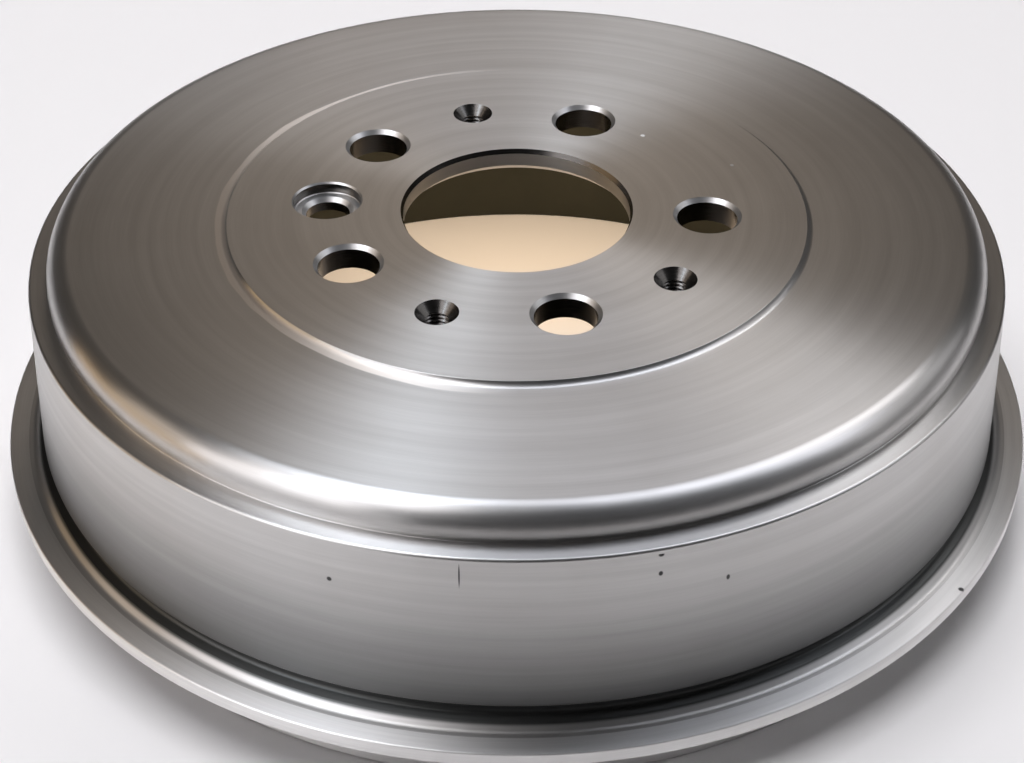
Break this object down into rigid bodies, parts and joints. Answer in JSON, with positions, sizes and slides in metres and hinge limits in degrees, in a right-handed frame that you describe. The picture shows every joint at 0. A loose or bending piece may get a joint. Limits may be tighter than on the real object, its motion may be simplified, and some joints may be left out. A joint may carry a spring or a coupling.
{
  "type": "brake drum",
  "caption": "Cast-iron rear brake drum, turned all over, with a stepped wheel face, ledge, drafted wall, grooved root and an outer flange above its open end.",
  "frame": {"origin": "on the drum's axis, in the plane of the open end it stands on", "axes": "+Z along the axis towards the wheel side; +X to the right and +Y away in the picture's view"},
  "size_m": [0.3116, 0.3116, 0.0875],
  "materials": {
    "drum_iron": "turned grey cast iron with fine concentric tool marks, bare and lightly oiled"
  },
  "bodies": {
    "root": {"brake_drum": "drum_iron"}
  },
  "joints": []
}
